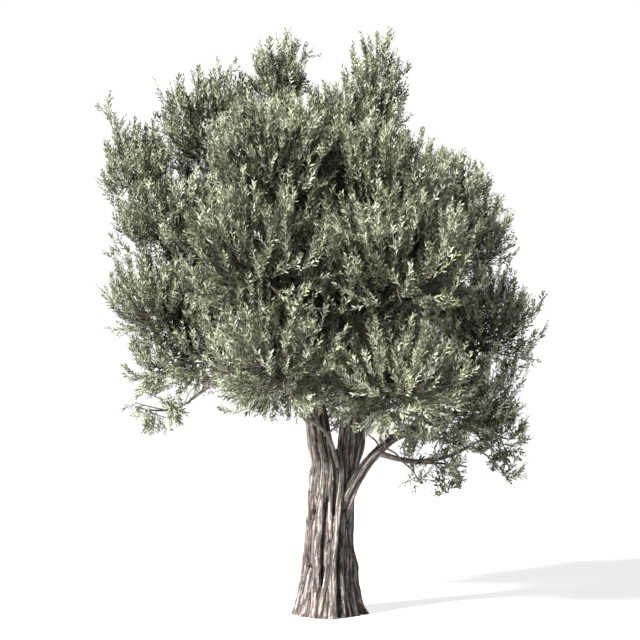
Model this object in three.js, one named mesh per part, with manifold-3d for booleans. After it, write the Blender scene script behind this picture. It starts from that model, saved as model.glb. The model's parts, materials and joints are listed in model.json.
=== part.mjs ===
// A whole olive tree: a fluted trunk that forks into two stems, the boughs that leave them, and the masses
// of foliage that the boughs carry. Millimetres, +Z up, the front towards -Y. The origin is the middle of
// the flat cut under the trunk, at ground level.

import * as THREE from "three";
import { mergeVertices } from "three/addons/utils/BufferGeometryUtils.js";
import Module from "manifold-3d";

const wasm = await Module();
wasm.setup();

// Driving dimensions. Whatever isn't in millimetres is a share of one of these, or an angle in degrees.
const treeHeight = 6200;
const trunkRadius = 236; // over the ridges, before the flare is added
const flareReach = 150; // how much further the roots stand out at the ground
const flareHeight = 600;
const forkHeight = 1400; // where the trunk's top starts to close over
const trunkTop = 1680; // just above the crotch between the stems
const topShrink = 0.8; // how much of its section the trunk loses as its top closes over
const trunkLean = 70; // how far the trunk's top stands to the right of its foot
const meetingGap = 0.35; // between a piece and the one that it grows from

const sprayLength = 430; // one blade stands for a spray of leaves
const sprayWidth = 135;
const sprayThickness = 30;
const twigRadius = 16;

// The ropes of wood that the trunk is made of: how far round from the front, to the right, each one stands,
// and how far out, as a share of the trunk's radius.
const trunkRopes = [
  { turn: -90, out: 1.0 },
  { turn: -56, out: 1.03 },
  { turn: -22, out: 0.98 },
  { turn: 11, out: 1.07 },
  { turn: 38, out: 0.97 },
  { turn: 66, out: 1.03 },
  { turn: 99, out: 0.98 },
  { turn: 131, out: 1.05 },
  { turn: 166, out: 0.97 },
  { turn: 201, out: 1.04 },
  { turn: 236, out: 0.99 },
];
const ropeMiddle = 0.76; // how far out a rope's middle runs, as a share of the trunk's radius
const hollowDepth = 0.8; // the deepest that a hollow between two ropes goes
const ropeTwist = 4; // how far the ropes turn to the right for each metre of height
const ropeWander = 5;
const sidesPerRope = 4;
const trunkSteps = 10;

// The limbs that leave the trunk: the points that each passes through, and its radius at both ends. Each
// ends where it enters the mass that it carries.
const mainLimbs = {
  left_stem: {
    through: [
      [-45, 10, 1150],
      [-68, 15, 1600],
      [-140, 25, 2050],
      [-270, 60, 2650],
      [-420, 60, 3400],
      [-540, 20, 4200],
    ],
    thick: [152, 46],
    sides: 10,
    steps: 12,
  },
  right_stem: {
    through: [
      [140, 20, 1150],
      [218, 30, 1600],
      [258, 45, 2050],
      [370, 70, 2650],
      [450, 60, 3400],
      [470, 20, 4100],
    ],
    thick: [165, 46],
    sides: 10,
    steps: 12,
  },
  side_bough: {
    through: [
      [110, -95, 920],
      [155, -140, 1060],
      [195, -172, 1180],
      [240, -205, 1280],
      [318, -235, 1420],
      [410, -255, 1550],
      [500, -270, 1645],
      [620, -285, 1750],
    ],
    thick: [82, 34],
    sides: 8,
    steps: 10,
  },
};

// The masses of foliage. Each heart stands `turn` degrees round from the front, to the right, `out` from the
// trunk's foot and `up` from the ground, and the mass reaches `wide` and `tall` from it, all as shares of
// the tree's height. Its bough leaves the limb `from`, `at` that share of the limb's length. A mass without
// `at` is carried by that limb's own tip.
const masses = {
  left_spire: { turn: -90, out: 0.085, up: 0.894, wide: 0.055, tall: 0.1, from: "left_stem" },
  right_spire: { turn: 90, out: 0.078, up: 0.869, wide: 0.062, tall: 0.122, from: "right_stem" },
  crown_middle: { turn: 20, out: 0.02, up: 0.78, wide: 0.12, tall: 0.1, from: "right_stem", at: 0.72 },
  left_shoulder: { turn: -90, out: 0.197, up: 0.806, wide: 0.107, tall: 0.106, from: "left_stem", at: 0.7 },
  left_wing: { turn: -90, out: 0.33, up: 0.732, wide: 0.064, tall: 0.1, from: "left_stem", at: 0.56 },
  left_middle: { turn: -92, out: 0.258, up: 0.641, wide: 0.128, tall: 0.092, from: "left_stem", at: 0.43 },
  left_low: { turn: -90, out: 0.264, up: 0.503, wide: 0.128, tall: 0.086, from: "left_stem", at: 0.32 },
  left_skirt: { turn: -90, out: 0.2, up: 0.43, wide: 0.112, tall: 0.072, from: "left_stem", at: 0.27 },
  left_tail: { turn: -92, out: 0.29, up: 0.405, wide: 0.056, tall: 0.05, from: "left_stem", at: 0.29 },
  left_hanging: { turn: -90, out: 0.29, up: 0.34, wide: 0.056, tall: 0.042, from: "left_stem", at: 0.26 },
  right_shoulder: { turn: 90, out: 0.203, up: 0.693, wide: 0.08, tall: 0.08, from: "right_stem", at: 0.56 },
  right_upper: { turn: 90, out: 0.222, up: 0.622, wide: 0.105, tall: 0.09, from: "right_stem", at: 0.4 },
  right_low: { turn: 90, out: 0.262, up: 0.47, wide: 0.112, tall: 0.096, from: "right_stem", at: 0.3 },
  right_skirt: { turn: 88, out: 0.23, up: 0.34, wide: 0.1, tall: 0.086, from: "side_bough" },
  right_tail: { turn: 87, out: 0.283, up: 0.286, wide: 0.05, tall: 0.058, from: "side_bough", at: 0.56 },
  right_hanging: { turn: 84, out: 0.203, up: 0.242, wide: 0.044, tall: 0.036, from: "bough_right_tail", at: 0.3 },
  front_left_skirt: { turn: -22, out: 0.21, up: 0.402, wide: 0.122, tall: 0.094, from: "left_stem", at: 0.25 },
  front_right_skirt: { turn: 30, out: 0.215, up: 0.368, wide: 0.122, tall: 0.09, from: "right_stem", at: 0.25 },
  front_middle: { turn: 2, out: 0.17, up: 0.5, wide: 0.1, tall: 0.1, from: "right_stem", at: 0.3 },
  front_left: { turn: -28, out: 0.235, up: 0.56, wide: 0.14, tall: 0.118, from: "left_stem", at: 0.36 },
  front_right: { turn: 28, out: 0.23, up: 0.548, wide: 0.138, tall: 0.116, from: "right_stem", at: 0.34 },
  front_upper_left: { turn: -30, out: 0.17, up: 0.71, wide: 0.13, tall: 0.118, from: "left_stem", at: 0.5 },
  front_upper_right: { turn: 30, out: 0.16, up: 0.675, wide: 0.12, tall: 0.108, from: "right_stem", at: 0.48 },
  back_left_skirt: { turn: 208, out: 0.205, up: 0.418, wide: 0.116, tall: 0.088, from: "left_stem", at: 0.27 },
  back_right_skirt: { turn: 152, out: 0.2, up: 0.405, wide: 0.125, tall: 0.088, from: "right_stem", at: 0.26 },
  back_left: { turn: 208, out: 0.235, up: 0.56, wide: 0.14, tall: 0.112, from: "left_stem", at: 0.37 },
  back_right: { turn: 152, out: 0.23, up: 0.55, wide: 0.138, tall: 0.112, from: "right_stem", at: 0.35 },
  back_upper_left: { turn: 211, out: 0.175, up: 0.71, wide: 0.13, tall: 0.118, from: "left_stem", at: 0.6 },
  back_upper_right: { turn: 150, out: 0.16, up: 0.69, wide: 0.125, tall: 0.11, from: "right_stem", at: 0.52 },
};
const hangingMasses = ["left_hanging", "right_hanging"]; // these have no solid core
for (const name of hangingMasses) masses[name].open = true;
const coreShare = 0.74; // a core's size, as a share of its mass
const openEntry = 0.85; // where a bough enters a mass without a core, as a share of its reach
const coreLumps = 0.12;
const wallGap = 4; // between a core and the wall to its neighbour
const limbTaper = 0.85; // the power by which a limb thins along its length
const boughTaper = { perLength: 0.028, tip: 24, slimTip: 0.6 };
const boughSlack = 0.045; // how far a bough strays from a straight line, as a share of its length
// How many times that a slim low bough arches up. The others sag by it once.
const slimArches = { left_hanging: 5, right_tail: -3, right_hanging: -1 };
const boughSeed = 100;
const boughSides = 5;
const boughSteps = 4;
const bladesPerMass = 19;
const spiralDepth = 1.74; // how far down from its top, in radii, a mass has blades
const longTwigs = 9; // one twig in so many comes out of the core
const hangingTwigs = 4;
const bladeSunk = 0.18; // how much of a blade stands in its twig, as a share of its length
const massSeed = 500;

const paleBark = new THREE.MeshStandardMaterial({ color: 0x9c928b, roughness: 0.92, metalness: 0 });
const greyBark = new THREE.MeshStandardMaterial({ color: 0x857a73, roughness: 0.92, metalness: 0 });
const foliage = new THREE.MeshStandardMaterial({ color: 0x7c8266, roughness: 0.62, metalness: 0 });

const goldenTurn = Math.PI * (3 - Math.sqrt(5));
const upwards = new THREE.Vector3(0, 0, 1);

function seededRandom(seed) {
  let state = seed;
  return () => {
    state = (state + 0x6d2b79f5) | 0;
    let mixed = Math.imul(state ^ (state >>> 15), 1 | state);
    mixed = (mixed + Math.imul(mixed ^ (mixed >>> 7), 61 | mixed)) ^ mixed;
    return ((mixed ^ (mixed >>> 14)) >>> 0) / 2 ** 32;
  };
}

const between = (random, low, high) => low + (high - low) * random();

function solidOf(geometry) {
  geometry.deleteAttribute("normal");
  geometry.deleteAttribute("uv");
  const merged = mergeVertices(geometry, 1e-3);
  return new wasm.Manifold(
    new wasm.Mesh({
      numProp: 3,
      vertProperties: new Float32Array(merged.getAttribute("position").array),
      triVerts: new Uint32Array(merged.index.array),
    }),
  );
}

function geometryOf(solid) {
  const { vertProperties, triVerts } = solid.getMesh();
  return new THREE.BufferGeometry()
    .setAttribute("position", new THREE.BufferAttribute(vertProperties, 3))
    .setIndex(new THREE.BufferAttribute(triVerts, 1));
}

function pointsOf(geometry) {
  const position = geometry.getAttribute("position");
  const place = (_, i) => new THREE.Vector3().fromBufferAttribute(position, i);
  return Array.from({ length: position.count }, place);
}

// Cuts a solid clear of others and keeps its largest piece, so that scraps go and sealed hollows are filled.
function cutClear(solid, others) {
  const cut = others.reduce((left, other) => left.subtract(other), solid);
  return cut.decompose().reduce((best, piece) => (piece.volume() > best.volume() ? piece : best));
}

const trunkLine = new THREE.CatmullRomCurve3(
  [0, 0.25, 0.5, 0.75, 1].map((share) => new THREE.Vector3(trunkLean * share ** 3, 0, trunkTop * share)),
);

function ropeTurn(number, height) {
  const laps = Math.floor(number / trunkRopes.length);
  const { turn } = trunkRopes[number - laps * trunkRopes.length];
  const metres = height / 1000;
  const drift = ropeTwist * metres + ropeWander * Math.sin(2.1 * metres + 1.7 * turn);
  return THREE.MathUtils.degToRad(turn + 360 * laps + drift - 90);
}

// The trunk's outline at one height. Its sides are dealt out so that each rope has the same number, with
// the hollow beside it on the first of them, and it stands out as far as any rope reaches in that direction.
function trunkOutline(share, around) {
  const height = share * trunkTop;
  const over = Math.max(0, (height - forkHeight) / (trunkTop - forkHeight));
  const closing = Math.sqrt(1 - topShrink * over * over);
  const radius = (trunkRadius + flareReach * Math.exp(-height / flareHeight)) * closing;
  const [rope, along] = [Math.floor(around * trunkRopes.length), (around * trunkRopes.length) % 1];
  const hollows = [0, 1].map((i) => (ropeTurn(rope + i - 1, height) + ropeTurn(rope + i, height)) / 2);
  const turn = THREE.MathUtils.lerp(...hollows, along);
  const reaches = trunkRopes.map(({ out }, number) => {
    const off = turn - ropeTurn(number, height);
    const thick = out - ropeMiddle;
    const beside = ropeMiddle * Math.sin(off);
    return Math.cos(off) > 0 && Math.abs(beside) < thick
      ? ropeMiddle * Math.cos(off) + Math.sqrt(thick * thick - beside * beside)
      : 0;
  });
  return { turn, radius: radius * Math.max(hollowDepth, ...reaches) };
}

// A closed limb of rings along a curve, with a flat cap at each end. A level limb's rings lie flat, and any
// other's stand square to the curve. `grow` makes the same limb that much fatter and longer all round.
function limbSolid({ curve, sides, steps, outline, level }, grow = 0) {
  const geometry = new THREE.CylinderGeometry(1, 1, 1, sides, steps);
  const position = geometry.getAttribute("position");
  const { tangents, normals, binormals } = curve.computeFrenetFrames(steps);
  pointsOf(geometry).forEach((point, i) => {
    const step = Math.round((point.y + 0.5) * steps);
    const side = Math.round((Math.atan2(-point.z, point.x) / (2 * Math.PI) + 1) * sides) % sides;
    const { turn, radius } = outline(step / steps, side / sides);
    const out = Math.hypot(point.x, point.z) * (radius + grow);
    const end = step === 0 ? -grow : step === steps ? grow : 0;
    const place = curve
      .getPointAt(step / steps)
      .addScaledVector(level ? upwards : tangents[step], end)
      .addScaledVector(level ? new THREE.Vector3(1, 0, 0) : normals[step], out * Math.cos(turn))
      .addScaledVector(level ? new THREE.Vector3(0, 1, 0) : binormals[step], out * Math.sin(turn));
    position.setXYZ(i, ...place);
  });
  return solidOf(geometry);
}

function roundOutline(foot, tip) {
  return (share, around) => ({
    turn: 2 * Math.PI * around,
    radius: THREE.MathUtils.lerp(foot, tip, share ** limbTaper),
  });
}

function heartOf({ turn, out, up }) {
  const round = THREE.MathUtils.degToRad(turn);
  return new THREE.Vector3(Math.sin(round) * out, -Math.cos(round) * out, up).multiplyScalar(treeHeight);
}

function reachOf({ wide, tall }) {
  return new THREE.Vector3(wide, wide, tall).multiplyScalar(treeHeight);
}

// The flat walls between a mass and its neighbours: each stands where the two reach equally far.
function wallsOf(name) {
  const heart = heartOf(masses[name]);
  const others = Object.entries(masses).filter(([other]) => other !== name);
  return others.map(([, other]) => {
    const apart = heartOf(other).sub(heart);
    const facing = apart.clone().normalize();
    const reachTo = (mass) => facing.clone().multiply(reachOf(mass)).length();
    const [own, theirs] = [reachTo(masses[name]), reachTo(other)];
    return { facing, distance: (apart.length() * own) / (own + theirs) };
  });
}

// How far along `way`, from its heart, a mass goes before it comes within a margin of a wall, up to 1.
function roomAlong(way, walls, margin) {
  const shares = walls.map(({ facing, distance }) => (distance - margin) / Math.max(way.dot(facing), 1e-6));
  return Math.min(1, ...shares);
}

// Where a limb that comes from `start` enters a mass.
function entryOf(name, start) {
  const mass = masses[name];
  const way = start.clone().sub(heartOf(mass)).divide(reachOf(mass)).normalize();
  way.multiply(reachOf(mass)).multiplyScalar(mass.open ? openEntry : coreShare);
  return way.multiplyScalar(roomAlong(way, wallsOf(name), 2 * boughTaper.tip)).add(heartOf(mass));
}

// A bough sags below the straight line, with a seeded swing, or arches over it where `rise` is above 0.
function boughLine(start, end, rise, random) {
  const run = end.clone().sub(start);
  const sideways = new THREE.Vector3(-run.y, run.x, 0).normalize();
  const slack = run.length() * boughSlack;
  const points = [0, 0.33, 0.67, 1].map((share) => {
    const loose = Math.sin(Math.PI * share) * slack;
    return start
      .clone()
      .addScaledVector(run, share)
      .addScaledVector(sideways, loose * between(random, -1, 1))
      .addScaledVector(upwards, loose * rise);
  });
  return new THREE.CatmullRomCurve3(points);
}

function makeLimbs() {
  const trunkSides = trunkRopes.length * sidesPerRope;
  const limbs = {
    trunk: { curve: trunkLine, sides: trunkSides, steps: trunkSteps, outline: trunkOutline, level: true },
  };
  for (const [name, { through, thick, sides, steps }] of Object.entries(mainLimbs)) {
    const points = through.map((place) => new THREE.Vector3(...place));
    const carried = Object.keys(masses).find((one) => {
      return masses[one].from === name && masses[one].at === undefined;
    });
    const curve = new THREE.CatmullRomCurve3([...points, entryOf(carried, points.at(-1))]);
    limbs[name] = { curve, sides, steps, outline: roundOutline(...thick) };
  }
  Object.entries(masses).forEach(([name, mass], number) => {
    if (mass.at === undefined) return;
    const start = limbs[mass.from].curve.getPointAt(mass.at);
    const rise = slimArches[name] ?? -1;
    const curve = boughLine(start, entryOf(name, start), rise, seededRandom(boughSeed + number));
    const tip = boughTaper.tip * (name in slimArches ? boughTaper.slimTip : 1);
    const foot = Math.max(tip * 1.3, curve.getLength() * boughTaper.perLength);
    const outline = roundOutline(foot, tip);
    limbs[`bough_${name}`] = { curve, sides: boughSides, steps: boughSteps, outline };
  });
  const earlier = [];
  for (const limb of Object.values(limbs)) {
    limb.solid = cutClear(limbSolid(limb), earlier);
    limb.grown = limbSolid(limb, meetingGap);
    earlier.push(limb.grown);
  }
  return limbs;
}

// A lumpy core that keeps within its mass's walls.
function coreSolid(heart, reach, walls, random) {
  const geometry = new THREE.IcosahedronGeometry(1, 1);
  geometry.deleteAttribute("normal");
  geometry.deleteAttribute("uv");
  const merged = mergeVertices(geometry, 1e-3);
  pointsOf(merged).forEach((way, i) => {
    way.multiply(reach).multiplyScalar(coreShare * (1 + between(random, -coreLumps, coreLumps)));
    way.multiplyScalar(roomAlong(way, walls, wallGap)).add(heart);
    merged.getAttribute("position").setXYZ(i, ...way);
  });
  return solidOf(merged);
}

function twigSolid(start, end, foot, tip) {
  const curve = new THREE.LineCurve3(start, end);
  return limbSolid({ curve, sides: 3, steps: 1, outline: roundOutline(foot, tip) });
}

// A blade of eight faces that grows from `root`, widest a third of the way along.
function bladeGeometry(root, facing, size, roll) {
  const geometry = new THREE.OctahedronGeometry(1, 0);
  const position = geometry.getAttribute("position");
  for (let i = 0; i < position.count; i++) if (Math.abs(position.getY(i)) < 0.5) position.setY(i, -0.3);
  const lean = new THREE.Quaternion().setFromUnitVectors(new THREE.Vector3(0, 1, 0), facing);
  return geometry
    .translate(0, 1, 0)
    .scale((sprayWidth / 2) * size, (sprayLength / 2) * size, (sprayThickness / 2) * size)
    .rotateY(roll)
    .applyQuaternion(lean)
    .translate(...root);
}

// Ends spread evenly over a mass by a spiral that runs down from its top.
function spiralWays(count, turn) {
  return Array.from({ length: count }, (_, i) => {
    const level = 1 - (spiralDepth * (i + 0.5)) / count;
    const [flat, round] = [Math.sqrt(1 - level * level), goldenTurn * i + turn];
    return new THREE.Vector3(Math.cos(round) * flat, Math.sin(round) * flat, level);
  });
}

function massSolid(name, number, limbs) {
  const mass = masses[name];
  const random = seededRandom(massSeed + number);
  const [heart, reach, walls] = [heartOf(mass), reachOf(mass), wallsOf(name)];
  const limb = limbs[mass.at === undefined ? mass.from : `bough_${name}`];
  const tip = limb.curve.getPointAt(1);
  const onward = limb.curve.getTangentAt(1);
  const stemRadius = limb.outline(1, 0).radius * 0.96;
  const stemFoot = tip.clone().addScaledVector(onward, -8);
  const stemEnd = mass.open ? heart.clone().lerp(tip, -0.7) : heart.clone();
  const bend = stemFoot.clone().addScaledVector(onward, stemFoot.distanceTo(stemEnd) * 0.4);
  const stemLine = new THREE.QuadraticBezierCurve3(stemFoot, bend, stemEnd);
  const stemOutline = roundOutline(stemRadius, twigRadius);
  const pieces = [limbSolid({ curve: stemLine, sides: 6, steps: 3, outline: stemOutline })];
  if (!mass.open) pieces.push(coreSolid(heart, reach, walls, random));

  const fits = (points) =>
    points.every((point) => {
      const off = point.clone().sub(heart);
      return walls.every(({ facing, distance }) => off.dot(facing) < distance - wallGap);
    });
  const addBlade = (root, facing, size) => {
    const sunk = root.clone().addScaledVector(facing, -bladeSunk * sprayLength * size);
    const blade = bladeGeometry(sunk, facing, size, between(random, 0, Math.PI));
    if (fits(pointsOf(blade))) pieces.push(solidOf(blade));
  };
  const lift = mass.open ? -0.5 : 0.25 + 1.1 * (mass.up - 0.4);
  const count = mass.open ? hangingTwigs : bladesPerMass;
  spiralWays(count, number).forEach((way, i) => {
    const size = between(random, 0.82, 1.05);
    const out = way.clone().multiply(reach);
    const long = mass.open || i % longTwigs === 1;
    const room = 1 - ((long ? 0.5 : 0.66) * sprayLength * size) / out.length();
    const share = long ? room : Math.min(room, coreShare * 0.93);
    const end = out.multiplyScalar(share * between(random, 0.95, 1)).add(heart);
    const foot = stemLine.getPointAt(mass.open ? 0.15 + (0.8 * i) / count : 0.95);
    if (!fits([end])) return;
    pieces.push(twigSolid(foot, end, twigRadius, twigRadius * 0.6));
    const facing = end.clone().sub(foot).normalize().addScaledVector(upwards, lift).normalize();
    addBlade(end, facing, size);
    if (!mass.open) return;
    const sideways = new THREE.Vector3().crossVectors(facing, upwards).normalize();
    for (const side of [-1, 1]) {
      const leaning = facing.clone().addScaledVector(sideways, 0.8 * side).normalize();
      addBlade(foot.clone().lerp(end, 0.6 + 0.1 * side), leaning, size * 0.9);
    }
  });
  const joined = pieces.reduce((whole, piece) => whole.add(piece));
  return cutClear(joined, Object.values(limbs).map(({ grown }) => grown));
}

function namedMesh(name, solid, material) {
  const mesh = new THREE.Mesh(geometryOf(solid), material);
  mesh.name = name;
  return mesh;
}

function makeTree() {
  const tree = new THREE.Group();
  const limbs = makeLimbs();
  for (const [name, { solid }] of Object.entries(limbs))
    tree.add(namedMesh(name, solid, name === "trunk" ? paleBark : greyBark));
  Object.keys(masses).forEach((name, number) => {
    tree.add(namedMesh(`leaves_${name}`, massSolid(name, number, limbs), foliage));
  });
  return tree;
}

export default makeTree();
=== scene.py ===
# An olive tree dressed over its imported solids: bark with relief on the trunk and limbs, and a crown of
# narrow leaves on twigs that grow on from the limbs. Metres, +Z up, the front towards -Y.

import json
import math

import bpy
import numpy as np
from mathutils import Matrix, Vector, kdtree, noise

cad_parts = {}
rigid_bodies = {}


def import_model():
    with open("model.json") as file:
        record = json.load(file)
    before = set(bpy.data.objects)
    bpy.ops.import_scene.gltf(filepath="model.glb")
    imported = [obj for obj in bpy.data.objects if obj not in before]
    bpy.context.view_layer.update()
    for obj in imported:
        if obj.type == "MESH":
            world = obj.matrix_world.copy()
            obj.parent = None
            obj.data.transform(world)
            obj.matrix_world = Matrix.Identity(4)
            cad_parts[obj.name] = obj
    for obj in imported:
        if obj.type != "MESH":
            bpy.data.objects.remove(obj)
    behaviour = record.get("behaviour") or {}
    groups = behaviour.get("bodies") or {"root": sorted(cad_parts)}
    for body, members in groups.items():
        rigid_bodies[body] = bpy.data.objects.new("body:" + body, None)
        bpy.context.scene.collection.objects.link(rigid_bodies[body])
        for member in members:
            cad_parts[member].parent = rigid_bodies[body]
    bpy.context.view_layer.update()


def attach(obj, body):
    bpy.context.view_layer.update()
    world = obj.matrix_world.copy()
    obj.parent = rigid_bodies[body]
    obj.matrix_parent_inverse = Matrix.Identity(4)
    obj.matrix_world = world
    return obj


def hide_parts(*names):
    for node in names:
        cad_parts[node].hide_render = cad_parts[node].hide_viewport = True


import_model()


treeHeight = 6.2        # metres, as is every size here that isn't called a share, a turn or a count
trunkTop = 1.68
trunkLean = 0.07
coreShare = 0.74        # a limb ends this far out in its mass, as a share of the mass's reach
hangingShare = 0.85     # and this far out in a hanging one
boughTip = 0.024
tiny = 1e-9

mainLimbs = {
    "left_stem": {
        "through": [(-0.045, 0.01, 1.15), (-0.068, 0.015, 1.6), (-0.14, 0.025, 2.05), (-0.27, 0.06, 2.65),
                    (-0.42, 0.06, 3.4), (-0.54, 0.02, 4.2)],
        "thick": (0.152, 0.046),
    },
    "right_stem": {
        "through": [(0.14, 0.02, 1.15), (0.218, 0.03, 1.6), (0.258, 0.045, 2.05), (0.37, 0.07, 2.65),
                    (0.45, 0.06, 3.4), (0.47, 0.02, 4.1)],
        "thick": (0.165, 0.046),
    },
    "side_bough": {
        "through": [(0.11, -0.095, 0.92), (0.155, -0.14, 1.06), (0.195, -0.172, 1.18), (0.24, -0.205, 1.28),
                    (0.318, -0.235, 1.42), (0.41, -0.255, 1.55), (0.5, -0.27, 1.645), (0.62, -0.285, 1.75)],
        "thick": (0.082, 0.034),
    },
}

# name: turn from the front, out, up, wide, tall (shares of the height), limb, share along it, group
masses = {
    "left_spire": (-90, 0.085, 0.894, 0.055, 0.1, "left_stem", None, "top"),
    "right_spire": (90, 0.078, 0.869, 0.062, 0.122, "right_stem", None, "top"),
    "crown_middle": (20, 0.02, 0.78, 0.12, 0.1, "right_stem", 0.72, "top"),
    "left_shoulder": (-90, 0.197, 0.806, 0.107, 0.106, "left_stem", 0.7, "top"),
    "left_wing": (-90, 0.33, 0.732, 0.064, 0.1, "left_stem", 0.56, "top"),
    "left_middle": (-92, 0.258, 0.641, 0.128, 0.092, "left_stem", 0.43, "left"),
    "left_low": (-90, 0.264, 0.503, 0.128, 0.086, "left_stem", 0.32, "left"),
    "left_skirt": (-90, 0.2, 0.43, 0.112, 0.072, "left_stem", 0.27, "left"),
    "left_tail": (-92, 0.29, 0.405, 0.056, 0.05, "left_stem", 0.29, "left"),
    "left_hanging": (-90, 0.29, 0.34, 0.056, 0.042, "left_stem", 0.26, "left"),
    "right_shoulder": (90, 0.203, 0.693, 0.08, 0.08, "right_stem", 0.56, "right"),
    "right_upper": (90, 0.222, 0.622, 0.105, 0.09, "right_stem", 0.4, "right"),
    "right_low": (90, 0.262, 0.47, 0.112, 0.096, "right_stem", 0.3, "right"),
    "right_skirt": (88, 0.23, 0.34, 0.1, 0.086, "side_bough", None, "right"),
    "right_tail": (87, 0.283, 0.286, 0.05, 0.058, "side_bough", 0.56, "right"),
    "right_hanging": (84, 0.203, 0.242, 0.044, 0.036, "bough_right_tail", 0.3, "right"),
    "front_left_skirt": (-22, 0.21, 0.402, 0.122, 0.094, "left_stem", 0.25, "front"),
    "front_right_skirt": (30, 0.215, 0.368, 0.122, 0.09, "right_stem", 0.25, "front"),
    "front_middle": (2, 0.17, 0.5, 0.1, 0.1, "right_stem", 0.3, "front"),
    "front_left": (-28, 0.235, 0.56, 0.14, 0.118, "left_stem", 0.36, "front"),
    "front_right": (28, 0.23, 0.548, 0.138, 0.116, "right_stem", 0.34, "front"),
    "front_upper_left": (-30, 0.17, 0.71, 0.13, 0.118, "left_stem", 0.5, "upper"),
    "front_upper_right": (30, 0.16, 0.675, 0.12, 0.108, "right_stem", 0.48, "upper"),
    "back_left_skirt": (208, 0.205, 0.418, 0.116, 0.088, "left_stem", 0.27, "back"),
    "back_right_skirt": (152, 0.2, 0.405, 0.125, 0.088, "right_stem", 0.26, "back"),
    "back_left": (208, 0.235, 0.56, 0.14, 0.112, "left_stem", 0.37, "back"),
    "back_right": (152, 0.23, 0.55, 0.138, 0.112, "right_stem", 0.35, "back"),
    "back_upper_left": (211, 0.175, 0.71, 0.13, 0.118, "left_stem", 0.6, "upper"),
    "back_upper_right": (150, 0.16, 0.69, 0.125, 0.11, "right_stem", 0.52, "upper"),
}
hangingMasses = {"left_hanging": 8, "right_hanging": 3}     # and how many branchlets each has
# how many times the usual sag a slim low bough arches up; the others sag by it once
slimArches = {"left_hanging": 5, "right_tail": -3, "right_hanging": -1}
upwards = np.array((0.0, 0.0, 1.0))
limbs = {
    "stemPoints": 97,
    "boughPoints": 33,
    "sag": 0.045,           # how far a bough sags and sways at its middle, as a share of its length
    "firstSeed": 100,
}


def unit(vector):
    return vector / max(np.linalg.norm(vector), tiny)


def smoothLine(points, count, fine=40):
    # evenly spaced places along a centripetal curve through the points
    points = np.asarray(points, float)
    around = np.vstack([2 * points[0] - points[1], points, 2 * points[-1] - points[-2]])
    places = []
    for a, b, c, d in zip(around, around[1:], around[2:], around[3:]):
        spans = (np.linalg.norm(to - here) for here, to in ((a, b), (b, c), (c, d)))
        first, middle, last = (math.sqrt(max(one, tiny)) for one in spans)
        leave = ((b - a) / first - (c - a) / (first + middle) + (c - b) / middle) * middle
        arrive = ((c - b) / middle - (d - b) / (middle + last) + (d - c) / last) * middle
        t = np.linspace(0, 1, fine, endpoint=False)[:, None]
        places.append(b + leave * t + (3 * (c - b) - 2 * leave - arrive) * t ** 2
                      + (2 * (b - c) + leave + arrive) * t ** 3)
    places = np.vstack(places + [points[-1:]])
    return evenly(places, count)


def runOf(places):
    # how far along the line each of its places lies
    return np.concatenate([[0], np.cumsum(np.linalg.norm(np.diff(places, axis=0), axis=1))])


def evenly(places, count):
    run = runOf(places)
    at = np.linspace(0, run[-1], count)
    return np.stack([np.interp(at, run, places[:, k]) for k in range(3)], axis=1)


def placeAt(line, share):
    at = share * (len(line) - 1)
    low = min(int(at), len(line) - 2)
    return line[low] + (line[low + 1] - line[low]) * (at - low)


def headingAt(line, share):
    low = min(int(share * (len(line) - 1)), len(line) - 2)
    return unit(line[low + 1] - line[low])


def bentLine(start, bend, end, count):
    t = np.linspace(0, 1, count)[:, None]
    return (1 - t) ** 2 * start + 2 * t * (1 - t) * bend + t ** 2 * end


def seededRandom(seed):
    state = seed

    def draw(low, high):
        nonlocal state
        state = (state + 0x6D2B79F5) % 2 ** 32
        mixed = ((state ^ (state >> 15)) * (1 | state)) % 2 ** 32
        mixed = ((mixed + (mixed ^ (mixed >> 7)) * (61 | mixed)) % 2 ** 32) ^ mixed
        return low + (high - low) * ((mixed ^ (mixed >> 14)) % 2 ** 32) / 2 ** 32
    return draw


def heartOf(name):
    turn, out, up = masses[name][:3]
    turn = math.radians(turn)
    return np.array((math.sin(turn) * out, -math.cos(turn) * out, up)) * treeHeight


def reachOf(name):
    wide, tall = masses[name][3:5]
    return np.array((wide, wide, tall)) * treeHeight


hearts = np.array([heartOf(name) for name in masses])
reaches = np.array([reachOf(name) for name in masses])


def roomAlong(name, way, margin):
    # how far along the way a mass goes before it comes near the wall to a neighbour, up to 1
    heart, reach, room = heartOf(name), reachOf(name), 1.0
    for other in masses:
        if other == name:
            continue
        apart = heartOf(other) - heart
        facing = unit(apart)
        own, theirs = np.linalg.norm(facing * reach), np.linalg.norm(facing * reachOf(other))
        wall = np.linalg.norm(apart) * own / (own + theirs) - margin
        room = min(room, wall / max(way @ facing, tiny))
    return room


def entryOf(name, start):
    reach = reachOf(name)
    share = hangingShare if name in hangingMasses else coreShare
    way = unit((start - heartOf(name)) / reach) * reach * share
    return heartOf(name) + way * roomAlong(name, way, 2 * boughTip)


def newPiece(name, mesh):
    piece = bpy.data.objects.new(name, mesh)
    bpy.context.scene.collection.objects.link(piece)
    return piece


def meshOf(name, vertices, faces):
    mesh = bpy.data.meshes.new(name)
    mesh.from_pydata(vertices, [], faces)
    mesh.update()
    return mesh


def setPlain(piece):
    # turns whatever the modifiers make into the piece's own mesh
    mesh = bpy.data.meshes.new_from_object(piece.evaluated_get(bpy.context.evaluated_depsgraph_get()))
    piece.modifiers.clear()
    piece.data = mesh


def storeAttribute(mesh, name, kind, values):
    layer = mesh.attributes.new(name, kind, "POINT")
    field = "vector" if kind == "FLOAT_VECTOR" else "value"
    layer.data.foreach_set(field, np.asarray(values, np.float32).ravel())


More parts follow.
